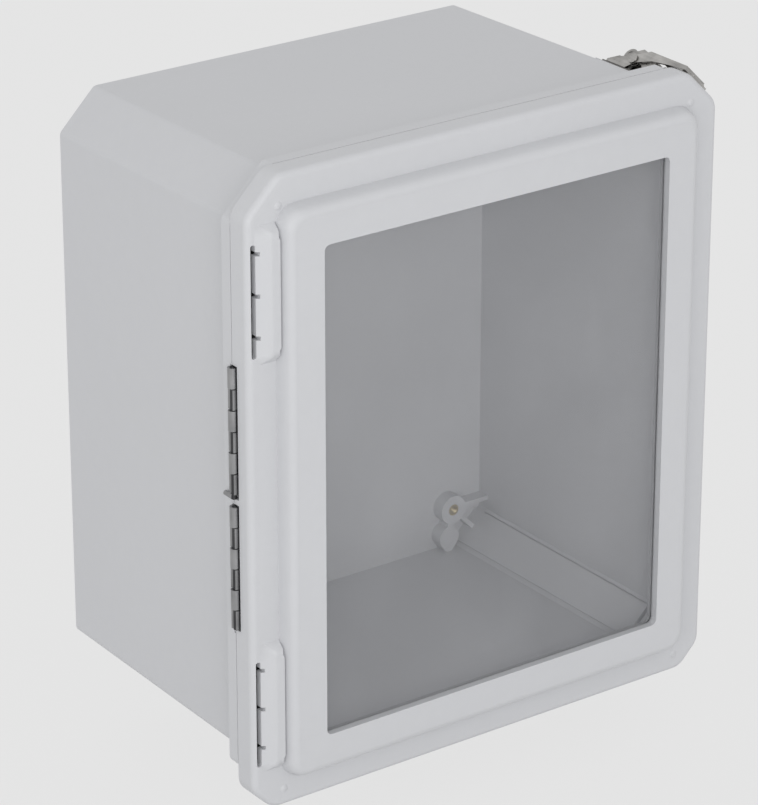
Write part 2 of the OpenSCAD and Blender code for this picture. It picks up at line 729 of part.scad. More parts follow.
// Overlap of a pad's right side with the foot of the raised panel
pad_tuck = 1.1;
screw_head_r = 2.6;
screw_head_t = 1.6;
pad_right = -raised_foot_w / 2 + pad_tuck;
pad_left = pad_right - pad_w;
pad_front = front_face - pad_drop;
pad_edge = 0.9;
pad_round = 2;
pad_end = 7;
slot_round = 1;
slot_lap = 0.3;
notch_w = 2;
notch_in = 1.8;
notch_pitch = 20.5;
// Domed bump beside each corner of the raised panel, and the radius of its ball
bump_r = 2.4;
bump_h = 0.9;
bump_ball = (bump_r * bump_r + bump_h * bump_h) / (2 * bump_h);
bump_x = raised_foot_w / 2 - 1.8;
bump_z = raised_foot_h / 2 + 2.6;

// Raised side pad and the slot beside it with three notches, drawn in the front view's frame
module side_pad() {
    lean = [(pad_w - pad_top_w - pad_edge) / 2, 0];
    foot = rounded(box_path(pad_w, pad_len), pad_round);
    shoulder = moved(rounded(box_path(pad_top_w + pad_edge, pad_len - pad_end), pad_round), lean);
    top = moved(rounded(box_path(pad_top_w - pad_edge, pad_len - 2 * pad_end), pad_round - pad_edge), lean);
    loft([[foot, plate_back], [foot, step_front], [shoulder, pad_front - pad_edge], [top, pad_front]]);
}

module side_slot() {
    slab(plate_back - over, front_face) {
        polygon(rounded(box_path(slot_w, slot_len), slot_round));
        for (k = [-1, 0, 1]) translate([slot_w / 2 - over, k * notch_pitch + slot_shift - notch_w / 2])
            square([notch_in + over, notch_w]);
    }
}

module door_frame() {
    color(fiberglass) difference() {
        union() {
            facing_front() {
                difference() {
                    union() {
                        loft([[door_section(0), seam], [door_section(0), step_front - rim_round],
                            for (a = rim_turns) [door_section(rim_round * (1 - cos(a))),
                                step_front - rim_round * (1 - sin(a))]]);
                        loft([[raised_section(raised_slope), plate_back], [raised_section(raised_slope), step_front],
                            [raised_section(0), front_face - raised_round],
                            for (a = edge_turns) [raised_section(raised_round * (cos(a) - 1)),
                                front_face - raised_round * (1 - sin(a))]]);
                        for (s = [-1, 1]) translate([(pad_left + pad_right) / 2, s * pad_z, 0]) side_pad();
                        translate([0, -slot_shift, 0]) four_corners() intersection() {
                            translate([bump_x, bump_z, step_front + bump_h - bump_ball]) sphere(bump_ball);
                            translate([bump_x, bump_z, 0]) slab(step_front - weld, front_face) circle(bump_ball);
                        }
                    }
                    slab(seam - over, plate_back) polygon(door_section(door_wall));
                    slab(plate_back - over, panel_back) polygon(rounded(box_path(recess_w, recess_h), recess_corner));
                    slab(panel_back - over, front_face + over) polygon(rounded(box_path(window_w, window_h), window_round));
                    for (s = [-1, 1]) translate([pad_left - slot_w / 2 + slot_lap, s * pad_z - slot_shift, 0]) side_slot();
                }
                difference() {
                    slab(plate_back - gasket_rib_h, plate_back + weld) polygon(gasket_section(gasket_lap));
                    slab(plate_back - gasket_rib_h - over, plate_back + over)
                        polygon(gasket_section(gasket_lap + gasket_rib_t));
                }
                for (p = screw_places) translate([p.x, p.y, pane_back])
                    cylinder(r = screw_boss_r, h = panel_back - pane_back + weld);
            }
        }
        facing_front() for (p = screw_places) translate([p.x, p.y, pane_back - over]) cylinder(r = screw_r, h = over + screw_bite);
        for (side = [-1, 1]) hinge_at(side) {
            translate([-over, -knuckle_r - skirt_room, side > 0 ? -tail_room : -hinge_relief])
                cube([door_wall + 2 * over, 2 * knuckle_r, hinge_len + hinge_relief + (side > 0 ? tail_room : hinge_relief)]);
            for (z = body_rivet_z) translate([door_leaf_x0 - door_screw_len, -door_screw_y, z]) rotate([0, 90, 0])
                cylinder(r = door_screw_r, h = door_screw_len + over);
        }
        for (side = [-1, 1]) at_latch(side) for (w = [-1, 1])
            translate([w * keeper_rivet_w, keeper_rivet_d, door_v(side) - keeper_bite])
                cylinder(r = keeper_rivet_r, h = keeper_bite + over);
    }
}

module window_gasket() {
    color(seal) facing_front() slab(panel_back - window_gasket_t, panel_back) difference() {
        polygon(rounded(box_path(pane_w, pane_h), window_round));
        polygon(rounded(box_path(window_w + 2 * sight_gap, window_h + 2 * sight_gap), window_round));
    }
}

module window_pane() {
    color(clear) facing_front() slab(pane_back, pane_back + pane_t) polygon(rounded(box_path(pane_w, pane_h), window_round));
}

module window_retainer() {
    frame_w = recess_w - 2 * retainer_gap;
    frame_h = recess_h - 2 * retainer_gap;
    color(steel) facing_front() difference() {
        slab(retainer_back, pane_back) difference() {
            polygon(rounded(box_path(frame_w, frame_h), recess_corner));
            polygon(rounded(box_path(window_w + 4 * sight_gap, window_h + 4 * sight_gap), window_round));
        }
        for (p = screw_places) translate([p.x, p.y, retainer_back - over]) cylinder(r = screw_r, h = retainer_t + 2 * over);
    }
}

module retainer_screws() {
    color(steel) facing_front() for (p = screw_places) translate([p.x, p.y, retainer_back]) {
        cylinder(r = screw_r, h = retainer_t + screw_bite);
        translate([0, 0, -screw_head_t]) cylinder(r = screw_head_r, h = screw_head_t);
    }
}

module door_gasket() {
    color(seal) facing_front() slab(mouth, plate_back) difference() {
        polygon(gasket_section(-body_wall - gasket_out));
        polygon(gasket_section(gasket_lap));
    }
}

enclosure_body();
panel_inserts();
wall_inserts();
hinge_body_leaf(1);  // hinge_body_leaf_upper
hinge_body_leaf(-1);  // hinge_body_leaf_lower
hinge_body_rivets();
hinge_pin(1);  // hinge_pin_upper
hinge_pin(-1);  // hinge_pin_lower
latch_base(1);  // latch_base_upper
latch_base(-1);  // latch_base_lower
latch_base_rivets();
lever_pivots(1);  // lever_pivots_upper
lever_pivots(-1);  // lever_pivots_lower
door_frame();
window_gasket();
window_pane();
window_retainer();
retainer_screws();
door_gasket();
hinge_door_leaf(1);  // hinge_door_leaf_upper
hinge_door_leaf(-1);  // hinge_door_leaf_lower
hinge_door_screws();
keeper(1);  // keeper_upper
keeper(-1);  // keeper_lower
keeper_rivets();
latch_lever(1);  // latch_lever_upper
latch_lever(-1);  // latch_lever_lower
bail_pin(1);  // bail_pin_upper
bail_pin(-1);  // bail_pin_lower
latch_bail(1);  // latch_bail_upper
latch_bail(-1);  // latch_bail_lower
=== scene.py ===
"""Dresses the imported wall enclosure: moulded fiberglass, clear window, stainless latches and hinge."""

import json
import math

import bpy
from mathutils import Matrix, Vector


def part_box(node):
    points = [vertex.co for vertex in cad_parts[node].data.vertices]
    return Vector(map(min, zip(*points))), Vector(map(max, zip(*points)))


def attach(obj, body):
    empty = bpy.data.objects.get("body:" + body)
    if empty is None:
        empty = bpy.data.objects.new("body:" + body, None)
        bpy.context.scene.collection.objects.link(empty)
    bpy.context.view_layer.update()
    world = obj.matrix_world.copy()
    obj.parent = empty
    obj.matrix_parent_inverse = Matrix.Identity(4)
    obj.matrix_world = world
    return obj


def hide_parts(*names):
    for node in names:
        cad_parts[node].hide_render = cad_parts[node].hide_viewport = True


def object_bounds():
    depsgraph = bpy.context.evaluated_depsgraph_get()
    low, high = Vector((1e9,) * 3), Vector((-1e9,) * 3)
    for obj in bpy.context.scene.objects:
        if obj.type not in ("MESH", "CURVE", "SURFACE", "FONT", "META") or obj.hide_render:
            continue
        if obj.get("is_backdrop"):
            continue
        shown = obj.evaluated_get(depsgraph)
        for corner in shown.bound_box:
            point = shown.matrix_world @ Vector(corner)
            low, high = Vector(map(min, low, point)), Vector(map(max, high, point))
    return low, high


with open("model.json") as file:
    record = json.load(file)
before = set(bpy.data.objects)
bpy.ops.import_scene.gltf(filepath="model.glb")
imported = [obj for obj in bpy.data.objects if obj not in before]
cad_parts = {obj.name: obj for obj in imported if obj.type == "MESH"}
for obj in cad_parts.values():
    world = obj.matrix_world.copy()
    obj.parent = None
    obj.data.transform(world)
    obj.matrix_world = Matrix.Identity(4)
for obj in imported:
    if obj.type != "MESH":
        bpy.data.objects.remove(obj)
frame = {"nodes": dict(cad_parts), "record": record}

bl_info = {
    "name": "Fiberglass wall enclosure",
    "version": (1, 0, 0),
    "blender": (4, 5, 0),
    "location": "View3D > Sidebar > Enclosure",
    "description": "Finishes and small details of a moulded wall enclosure with a window door",
    "category": "Object",
}

MM = 0.001
PHOTO_LONG_SIDE = 805
SENSOR_MM = 36.0
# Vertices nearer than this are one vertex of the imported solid
JOIN_GAP = 2e-6
# Faces that meet at less than this are one flat face
FLAT_ANGLE = math.radians(0.3)
# Edges that turn more than this are rolled over
SHARP_ANGLE = math.radians(40)
# Faces that turn less than this are shaded as one curve
SMOOTH_ANGLE = math.radians(33)
# Pull of the large faces on the normals beside them
FACE_WEIGHT = 90
# Faces across each rolled edge
MOULDING_STEPS = 3
PANEL_STEPS = 4
LATCH_STEPS = 3
HINGE_STEPS = 2
INSERT_STEPS = 2
BEAD_STEPS = 7
LIP_STEPS = 4
PAN_STEPS = 5
# Rings round the raised panel's front edge, each between two depths behind its face, with how far it is
# drawn in and set back
PANEL_RINGS = (
    (1.0 * MM, 2.0 * MM, -0.81 * MM, 3.0 * MM),
    (0.1 * MM, 1.0 * MM, 0.28 * MM, 1.28 * MM),
    (-0.1 * MM, 0.1 * MM, 2.6 * MM, 0),
)
# Depths between which the middle ring then lies
PANEL_TURN = (1.6 * MM, 1.9 * MM)
# Height of the raised panel above the step round it
PANEL_RISE = 9 * MM
# Sides of the pads' rings, each between two places and two heights above the step, with their shift
PAD_SIDES = (
    (-131 * MM, -126.2 * MM, 4.4 * MM, 4.6 * MM, 3.0 * MM),
    (-131 * MM, -126.2 * MM, 3.5 * MM, 3.7 * MM, 2.46 * MM),
    (-126.2 * MM, -122 * MM, 4.4 * MM, 4.6 * MM, -0.2 * MM),
)
# The pads' notches lie to the left of this, and their edges come down by this ratio
PAD_NOTCH = -131.5 * MM
PAD_LEAN = 0.573
# Where the pads meet the panel's side, their seam comes down towards the panel's foot by this ratio
PANEL_FOOT = -122.83 * MM
PAD_SEAM = (-122.7 * MM, -121.7 * MM, 0.8 * MM, 3.8 * MM)
SEAM_DROP = 0.5
# Sides of a screw's head, and the share of its height that is rounded
SCREW_SIDES = 32
PAN_SHARE = 0.62
# The screws and the inserts stand further apart than this many radii of a head or a bore
SCREW_APART = 3
INSERT_APART = 6
# How far a thread's root lies inside the wall of its bore
THREAD_ROOT = 0.05 * MM
# Steps in one turn of a thread
THREAD_STEPS = 24
# Height of a triangle whose corners lie at distance one from its middle
CORNER_RISE = 1.5
# A hinge pin's tail lies further from the hinge's axis than this
TAIL_REACH = 1.6 * MM
# Height of the foot of a padlock eye above the underside of its base
EYE_FOOT = 4.5 * MM
# The padlock eyes lie behind this depth
EYE_FRONT = -126 * MM
# Slot of a piece's second finish: plain steel, brighter than the painted shade in its first slot
BRIGHT_SLOT = 1
# How far patterns are drawn out along X, Y and Z
EVEN_GRAIN = (1, 1, 1)
DEEP_GRAIN = (1, 14, 1)
TALL_GRAIN = (1, 1, 14)
WIRE_GRAIN = (1, 1, 30)
RING_GRAIN = (6, 1, 6)
SCUFF_GRAIN = (1, 1, 6)
STREAK_GRAIN = (1, 1, 9)
# Number of fine grains across one ripple of the moulded skin
PEEL_GRAINS = 5
# How far the tones of a plain and of a stained sheet lie from its colour
STEEL_SPREAD = 0.2
LATCH_SPREAD = 0.42
SCREW_ROUGHNESS = 0.3
# Refraction of the clear pane
PANE_IOR = 1.49
# Places of the colour sockets in a Mix node
MIX_DARK = 6
MIX_LIGHT = 7
MIX_COLOUR = 2
CAMERA_REACH = 50
FLOOR_WIDTH = 12
# Soft lamps, each with its name, place, width and share of the key light
LAMPS = (
    ("side_lamp", (-2.3, -1.5, 0.45), 1.8, 0.62),
    ("front_lamp", (-0.9, -2.6, 0.5), 1.6, 1.0),
)


class MouldingFinish(bpy.types.PropertyGroup):
    """Colours and texture of the moulded fiberglass."""

    colour: bpy.props.FloatVectorProperty(
        name="Moulding colour", description="Grey of the moulded fiberglass", subtype="COLOR",
        size=3, min=0, max=1, default=(0.565, 0.571, 0.59))
    roughness: bpy.props.FloatProperty(
        name="Roughness", description="Mean roughness of the moulded skin", min=0, max=1, default=0.46)
    peel_size: bpy.props.FloatProperty(
        name="Peel size", description="Width of one ripple in the moulded skin", subtype="DISTANCE",
        unit="LENGTH", min=0.0005, default=0.0021)
    edge_radius: bpy.props.FloatProperty(
        name="Edge radius", description="Softening of the moulded edges", subtype="DISTANCE",
        unit="LENGTH", min=0, default=0.0006)
    panel_radius: bpy.props.FloatProperty(
        name="Panel radius", description="Width of the turn in the raised panel's rolled edge",
        subtype="DISTANCE", unit="LENGTH", min=0, default=0.0013)


class HardwareFinish(bpy.types.PropertyGroup):
    """Colours of the metal, the seals and the window."""

    latch_colour: bpy.props.FloatVectorProperty(
        name="Latch steel", description="Bare stainless sheet of the latches", subtype="COLOR",
        size=3, min=0, max=1, default=(0.4, 0.392, 0.38))
    hinge_colour: bpy.props.FloatVectorProperty(
        name="Hinge steel", description="Rolled sheet of the hinge leaf in the flange", subtype="COLOR",
        size=3, min=0, max=1, default=(0.34, 0.34, 0.345))
    # Painted shade: the pins are coloured near black to stand in for the shade in the slots between the
    # knuckles; their tails get the hinge steel
    pin_shade_colour: bpy.props.FloatVectorProperty(
        name="Pin steel", description="Darkened wire of the hinge pins", subtype="COLOR",
        size=3, min=0, max=1, default=(0.075, 0.075, 0.078))
    leaf_colour: bpy.props.FloatVectorProperty(
        name="Door leaf steel", description="Darker sheet of the hinge leaf in the door", subtype="COLOR",
        size=3, min=0, max=1, default=(0.28, 0.28, 0.284))
    # Painted shade: the latch base, stainless like the rest of the latch, is coloured dark to stand in
    # for the shade under the lever and bail
    base_shade_colour: bpy.props.FloatVectorProperty(
        name="Latch base steel", description="Darker sheet of the latch base", subtype="COLOR",
        size=3, min=0, max=1, default=(0.16, 0.155, 0.15))
    brass_colour: bpy.props.FloatVectorProperty(
        name="Brass", description="Turned threaded inserts", subtype="COLOR",
        size=3, min=0, max=1, default=(0.6, 0.5, 0.3))
    seal_colour: bpy.props.FloatVectorProperty(
        name="Door seal", description="Foamed seal in the door", subtype="COLOR",
        size=3, min=0, max=1, default=(0.03, 0.03, 0.033))
    window_seal_colour: bpy.props.FloatVectorProperty(
        name="Window seal", description="Pale foamed seal round the pane", subtype="COLOR",
        size=3, min=0, max=1, default=(0.42, 0.425, 0.44))
    bead_radius: bpy.props.FloatProperty(
        name="Door seal crown", description="Radius of the door seal's crowned edges", subtype="DISTANCE",
        unit="LENGTH", min=0, max=0.0026, default=0.0024)
    lip_radius: bpy.props.FloatProperty(
        name="Window seal lip", description="Radius of the window seal's edges", subtype="DISTANCE",
        unit="LENGTH", min=0, max=0.0006, default=0.00052)
    lip_bulge: bpy.props.FloatProperty(
        name="Window seal bulge", description="How far the window seal is squeezed into the opening",
        subtype="DISTANCE", unit="LENGTH", min=0, max=0.001, default=0.0009)
    retainer_colour: bpy.props.FloatVectorProperty(
        name="Retainer", description="Plastic frame that holds the pane", subtype="COLOR",
        size=3, min=0, max=1, default=(0.4, 0.405, 0.42))
    pane_colour: bpy.props.FloatVectorProperty(
        name="Pane tint", description="Grey of the clear pane", subtype="COLOR",
        size=3, min=0, max=1, default=(0.6, 0.605, 0.63))
    pane_alpha: bpy.props.FloatProperty(
        name="Pane density", description="Share of light that the pane holds back", subtype="FACTOR",
        min=0, max=1, default=0.09)
    thread_depth: bpy.props.FloatProperty(
        name="Thread depth", description="Height of the thread in an insert's bore", subtype="DISTANCE",
        unit="LENGTH", min=0.0001, default=0.0004)
    panel_pitch: bpy.props.FloatProperty(
        name="Panel thread pitch", description="Pitch of the panel inserts' thread", subtype="DISTANCE",
        unit="LENGTH", min=0.0003, default=0.0007)
    wall_pitch: bpy.props.FloatProperty(
        name="Wall thread pitch", description="Pitch of the wall inserts' thread", subtype="DISTANCE",
        unit="LENGTH", min=0.0003, default=0.0008)
    sheet_radius: bpy.props.FloatProperty(
        name="Sheet edge", description="Rolled edge of the sheet metal", subtype="DISTANCE",
        unit="LENGTH", min=0, default=0.00025)
    head_radius: bpy.props.FloatProperty(
        name="Rivet head edge", description="Rolled edge of the rivets' heads", subtype="DISTANCE",
        unit="LENGTH", min=0, default=0.0004)


class ScrewShape(bpy.types.PropertyGroup):
    """Shape of the screws that hold the retainer."""

    head_radius: bpy.props.FloatProperty(
        name="Head radius", description="Radius of the pan head", subtype="DISTANCE", unit="LENGTH",
        min=0.001, default=0.00255)
    head_height: bpy.props.FloatProperty(
        name="Head height", description="Height of the pan head", subtype="DISTANCE", unit="LENGTH",
        min=0.0005, default=0.0016)
    shank_radius: bpy.props.FloatProperty(
        name="Shank radius", description="Radius of the shank", subtype="DISTANCE", unit="LENGTH",
        min=0.0005, default=0.00145)
    shank_length: bpy.props.FloatProperty(
        name="Shank length", description="Length of the shank", subtype="DISTANCE", unit="LENGTH",
        min=0.001, default=0.0069)
    cross_length: bpy.props.FloatProperty(
        name="Cross length", description="Length of a bar of the recess", subtype="DISTANCE",
        unit="LENGTH", min=0.0005, default=0.0027)
    cross_width: bpy.props.FloatProperty(
        name="Cross width", description="Width of a bar of the recess", subtype="DISTANCE",
        unit="LENGTH", min=0.0002, default=0.0006)
    cross_depth: bpy.props.FloatProperty(
        name="Cross depth", description="Depth of the cross recess", subtype="DISTANCE", unit="LENGTH",
        min=0.0002, default=0.0009)
    turn_step: bpy.props.FloatProperty(
        name="Turn step", description="Turn from one screw to the next", subtype="ANGLE",
        default=math.radians(53))


class StageSettings(bpy.types.PropertyGroup):
    """Camera, floor and light."""

    camera_place: bpy.props.FloatVectorProperty(
        name="Camera place", description="Where the camera stands", subtype="TRANSLATION",
        unit="LENGTH", size=3, default=(-1.08448, -1.57509, 0.78068))
    azimuth: bpy.props.FloatProperty(
        name="Azimuth", description="Turn of the view to the right of straight on", subtype="ANGLE",
        default=math.radians(36.03))
    elevation: bpy.props.FloatProperty(
        name="Elevation", description="Downward tilt of the view", subtype="ANGLE",
        default=math.radians(23.26))
    focal_pixels: bpy.props.FloatProperty(
        name="Focal length", description="Focal length in pixels of the photograph's frame", default=4031)
    backdrop: bpy.props.FloatProperty(
        name="Backdrop", description="Grey of the floor as the camera sees it", min=0, max=1,
        default=0.791)
    floor_glow: bpy.props.FloatProperty(
        name="Floor glow", description="Share of the floor's grey that the object's shadow can't darken",
        subtype="FACTOR", min=0, max=1, default=0.93)
    floor_drop: bpy.props.FloatProperty(
        name="Floor drop", description="Room under the object, where the open lower latch swings",
        subtype="DISTANCE", unit="LENGTH", min=0, default=0.03)
    fill: bpy.props.FloatProperty(
        name="Fill light", description="Strength of the even light from all round", min=0, default=0.8)
    key_watts: bpy.props.FloatProperty(
        name="Key light", description="Power of the soft lamp in front", min=0, unit="POWER",
        default=18.5)


class Wire:
    """One socket in a material, so that shader maths reads as Python."""

    def __init__(self, board, socket):
        self.board = board
        self.socket = socket

    def math(self, operation, first, second):
        return self.board.add("ShaderNodeMath", {"operation": operation}, {0: first, 1: second})

    def __add__(self, other):
        return self.math("ADD", self, other)

    def __sub__(self, other):
        return self.math("SUBTRACT", self, other)

    def __rsub__(self, other):
        return self.math("SUBTRACT", other, self)

    def __mul__(self, other):
        return self.math("MULTIPLY", self, other)

    __radd__ = __add__
    __rmul__ = __mul__


class Board:
    """The nodes of one material, or of the world."""

    def __init__(self, name, kinds="materials"):
        self.material = getattr(bpy.data, kinds).new(name)
        self.material.use_nodes = True
        self.tree = self.material.node_tree
        self.tree.nodes.clear()
        self.coordinates = self.add("ShaderNodeTexCoord", {}, {}, "Object")

    def add(self, kind, settings, sockets, output=0):
        """Adds a node, sets it, joins its sockets to values or wires, and returns an output, if any."""
        node = self.tree.nodes.new(kind)
        for key, value in settings.items():
            setattr(node, key, value)
        for key, value in sockets.items():
            if isinstance(value, Wire):
                self.tree.links.new(value.socket, node.inputs[key])
            else:
                node.inputs[key].default_value = value
        return Wire(self, node.outputs[output]) if node.outputs else None

    def noise(self, size, detail=2.0, stretch=EVEN_GRAIN):
        """Smooth noise whose features are about size metres wide, drawn out along an axis by stretch."""
        along = tuple(1 / s for s in stretch)
        place = self.add("ShaderNodeMapping", {}, {"Vector": self.coordinates, "Scale": along})
        return self.add("ShaderNodeTexNoise", {}, {"Vector": place, "Scale": 1 / size, "Detail": detail})

    def cells(self, size):
        """Distance to the middle of the nearest cell, for cells about size metres wide."""
        sockets = {"Vector": self.coordinates, "Scale": 1 / size}
        return self.add("ShaderNodeTexVoronoi", {}, sockets, "Distance")

    def tint(self, share, colour, darker, lighter):
        """The colour, varied between a darker and a lighter shade of it."""
        sockets = {"Factor": share, MIX_DARK: shade(colour, darker), MIX_LIGHT: shade(colour, lighter)}
        return self.add("ShaderNodeMix", {"data_type": "RGBA"}, sockets, MIX_COLOUR)

    def relief(self, height, strength, depth):
        """Normal of a surface with a fine relief."""
        return self.add("ShaderNodeBump", {}, {"Height": height, "Strength": strength, "Distance": depth})

    def surface(self, sockets):
        """Ends the material in one shader with these sockets."""
        self.add_output(self.add("ShaderNodeBsdfPrincipled", {}, sockets))
        return self.material

    def add_output(self, shader, kind="Material"):
        self.add("ShaderNodeOutput" + kind, {}, {"Surface": shader})


def shade(colour, factor):
    """The colour made lighter or darker, as a socket takes it."""
    return (*(min(1.0, c * factor) for c in colour), 1)


def moulded_fiberglass(finish):
    """Satin moulded skin with a fine peel and a faint fibre mottling."""
    board = Board("moulded_fiberglass")
    cloud = board.noise(size=90 * MM, detail=3)
    mottle = board.noise(size=6 * MM, detail=4)
    peel = board.noise(size=finish.peel_size)
    grain = board.noise(size=finish.peel_size / PEEL_GRAINS)
    tint = board.tint(cloud * 0.5 + mottle * 0.5, finish.colour, darker=0.965, lighter=1.035)
    gloss = peel * 0.1 + mottle * 0.1 + (finish.roughness - 0.1)
    normal = board.relief(peel * 0.7 + grain * 0.3, strength=0.05, depth=0.2 * MM)
    return board.surface({"Base Color": tint, "Roughness": gloss, "Normal": normal})


def sheet_steel(name, colour, stretch, roughness, spread=STEEL_SPREAD):
    """Stained stainless sheet, its grain drawn out by stretch and its tones spread round its colour."""
    board = Board(name)
    grain = board.noise(size=1.2 * MM, detail=3, stretch=stretch)
    stain = board.noise(size=11 * MM, detail=3)
    share = grain * 0.7 + stain * 1.7 - 0.7
    tint = board.tint(share, colour, darker=1 - spread, lighter=1 + spread)
    gloss = grain * 0.16 + stain * 0.12 + (roughness - 0.14)
    normal = board.relief(grain, strength=0.12, depth=0.1 * MM)
    return board.surface({"Base Color": tint, "Metallic": 1.0, "Roughness": gloss, "Normal": normal})


def turned_brass(colour):
    """Dull turned brass with faint spotting."""
    board = Board("turned_brass")
    spots = board.noise(size=1.6 * MM, detail=4)
    lines = board.noise(size=0.3 * MM, stretch=RING_GRAIN)
    tint = board.tint(spots, colour, darker=0.72, lighter=1.1)
    gloss = spots * 0.25 + 0.26
    normal = board.relief(lines, strength=0.2, depth=0.1 * MM)
    return board.surface({"Base Color": tint, "Metallic": 1.0, "Roughness": gloss, "Normal": normal})


def foamed_seal(name, colour):
    """Matte foamed rubber with fine pores."""
    board = Board(name)
    pores = board.cells(size=0.9 * MM)
    cloud = board.noise(size=20 * MM, detail=3)
    tint = board.tint(cloud * 0.6 + pores * 0.4, colour, darker=0.7, lighter=1.5)
    gloss = cloud * 0.12 + 0.78
    normal = board.relief(pores, strength=0.45, depth=0.3 * MM)
    return board.surface({"Base Color": tint, "Roughness": gloss, "Normal": normal})


def retainer_plastic(colour):
    """Light grey sheet plastic, slightly scuffed."""
    board = Board("retainer_plastic")
    scuff = board.noise(size=4 * MM, detail=4, stretch=SCUFF_GRAIN)
    cloud = board.noise(size=50 * MM)
    tint = board.tint(scuff * 0.5 + cloud * 0.5, colour, darker=0.95, lighter=1.05)
    gloss = scuff * 0.2 + 0.4
    normal = board.relief(scuff, strength=0.12, depth=0.2 * MM)
    return board.surface({"Base Color": tint, "Roughness": gloss, "Normal": normal})


def clear_pane(finish):
    """Clear sheet with a grey cast and a little haze."""
    board = Board("clear_pane")
    haze = board.noise(size=50 * MM, detail=4)
    streak = board.noise(size=12 * MM, detail=3, stretch=STREAK_GRAIN)
    tint = board.tint(haze, finish.pane_colour, darker=0.85, lighter=1.15)
    gloss = haze * 0.05 + 0.03
    density = haze * 0.04 + streak * 0.03 + (finish.pane_alpha - 0.035)
    material = board.surface({"Base Color": tint, "Roughness": gloss, "Alpha": density, "IOR": PANE_IOR})
    material.surface_render_method = "BLENDED"
    return material


def paint(material, *names):
    """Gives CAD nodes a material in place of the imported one."""
    for name in names:
        finish_with(frame["nodes"][name], material)


def finish_with(piece, material):
    """Makes a material the only one of a piece."""
    piece.data.materials.clear()
    piece.data.materials.append(material)


def deselect_all():
    for other in bpy.context.selected_objects:
        other.select_set(False)


def pick(piece):
    """Makes one piece the only selected one."""
    deselect_all()
    piece.select_set(True)
    bpy.context.view_layer.objects.active = piece


def stand_in(piece, node):
    """Puts a piece in the place of a CAD node: hides the node and puts the piece in the node's body."""
    bodies = frame["record"]["behaviour"]["bodies"]
    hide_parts(node)
    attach(piece, next(body for body, members in bodies.items() if node in members))


def merged_copy(node, name):
    """A copy of a CAD node's mesh with its triangles joined into flat faces."""
    piece = bpy.data.objects.new(name, frame["nodes"][node].data.copy())
    bpy.context.scene.collection.objects.link(piece)
    pick(piece)
    bpy.ops.object.mode_set(mode="EDIT")
    bpy.ops.mesh.select_all(action="SELECT")
    bpy.ops.mesh.remove_doubles(threshold=JOIN_GAP)
    bpy.ops.mesh.dissolve_limited(angle_limit=FLAT_ANGLE)
    bpy.ops.object.mode_set(mode="OBJECT")
    return piece


def eased(node, name, material, radius, steps):
    """A copy of a CAD node with its sharp edges rolled over, which stands in for the node."""
    piece = merged_copy(node, name)
    roll_edges(piece, radius, steps)
    return settle(piece, node, material)


def roll_edges(piece, radius, steps):
    """Rolls a merged copy's sharp edges over."""
    pick(piece)
    ease = piece.modifiers.new("rolled_edges", "BEVEL")
    ease.width = radius
    ease.segments = steps
    ease.limit_method = "ANGLE"
    ease.angle_limit = SHARP_ANGLE
    bpy.ops.object.modifier_apply(modifier=ease.name)
    bpy.ops.object.mode_set(mode="EDIT")
    bpy.ops.mesh.select_all(action="SELECT")
    bpy.ops.mesh.dissolve_degenerate(threshold=JOIN_GAP)
    bpy.ops.object.mode_set(mode="OBJECT")


def smooth(piece):
    """Shades curves as curves and keeps the flat faces flat beside them."""
    pick(piece)
    bpy.ops.object.shade_smooth_by_angle(angle=SMOOTH_ANGLE)
    flatten = piece.modifiers.new("flat_faces", "WEIGHTED_NORMAL")
    flatten.mode = "FACE_AREA_WITH_ANGLE"
    flatten.weight = FACE_WEIGHT
    flatten.keep_sharp = True
    bpy.ops.object.modifier_apply(modifier=flatten.name)


def edit_edges(piece, holds):
    """Goes into edit mode with those edges selected whose two ends both hold."""
    pick(piece)
    bpy.ops.object.mode_set(mode="EDIT")
    bpy.ops.mesh.select_mode(type="EDGE")
    bpy.ops.mesh.select_all(action="DESELECT")
    bpy.ops.object.mode_set(mode="OBJECT")
    mesh = piece.data
    for edge in mesh.edges:
        edge.select = all(holds(mesh.vertices[v].co) for v in edge.vertices)
    bpy.ops.object.mode_set(mode="EDIT")


def round_edges(piece, holds, radius, steps):
    """Rounds the edges whose two ends both hold."""
    edit_edges(piece, holds)
    bpy.ops.mesh.bevel(offset=radius, segments=steps, affect="EDGES", clamp_overlap=True)
    bpy.ops.object.mode_set(mode="OBJECT")


def settle(piece, node, material):
    """Shades and paints a finished piece and puts it in the place of a CAD node."""
    smooth(piece)
    finish_with(piece, material)
    stand_in(piece, node)
    return piece


def places(node, reach):
    """Middle of each of a CAD node's solids, whose vertices lie within reach of one another."""
    groups = []
    for vertex in node.data.vertices:
        place = (vertex.co.x, vertex.co.z)
        near = next((group for group in groups if math.dist(group[0], place) < reach), None)
        if near is None:
            groups.append([place])
        else:
            near.append(place)
    return [tuple((min(axis) + max(axis)) / 2 for axis in zip(*group)) for group in groups]


def copies_at(pattern, spots):
    """Copies of a pattern at these places, each with its own mesh. The pattern itself goes."""
    copies = []
    for spot in spots:
        copy = pattern.copy()
        copy.data = pattern.data.copy()
        copy.location = spot
        bpy.context.scene.collection.objects.link(copy)
        copies.append(copy)
    bpy.data.objects.remove(pattern, do_unlink=True)
    return copies


def join_to(piece, others):
    """Joins the others into one piece."""
    pick(piece)
    for other in others:
        other.select_set(True)
    bpy.ops.object.join()


def brighten(piece, material, holds):
    """Gives the faces whose middles hold a second finish, brighter than the painted shade of the first.
    """
    piece.data.materials.append(material)
    for face in piece.data.polygons:
        if holds(face.center):
            face.material_index = BRIGHT_SLOT


def brighten_tail(piece, material):
    """Gives the bent tail of a hinge pin the plain hinge steel; the length inside the knuckles keeps its
    painted shade.
    """
    joints = frame["record"]["behaviour"]["joints"]
    axis = next(joint["pos_m"] for joint in joints if joint["name"] == "door_hinge")[:2]
    brighten(piece, material, lambda co: math.dist(co.xy, axis) > TAIL_REACH)


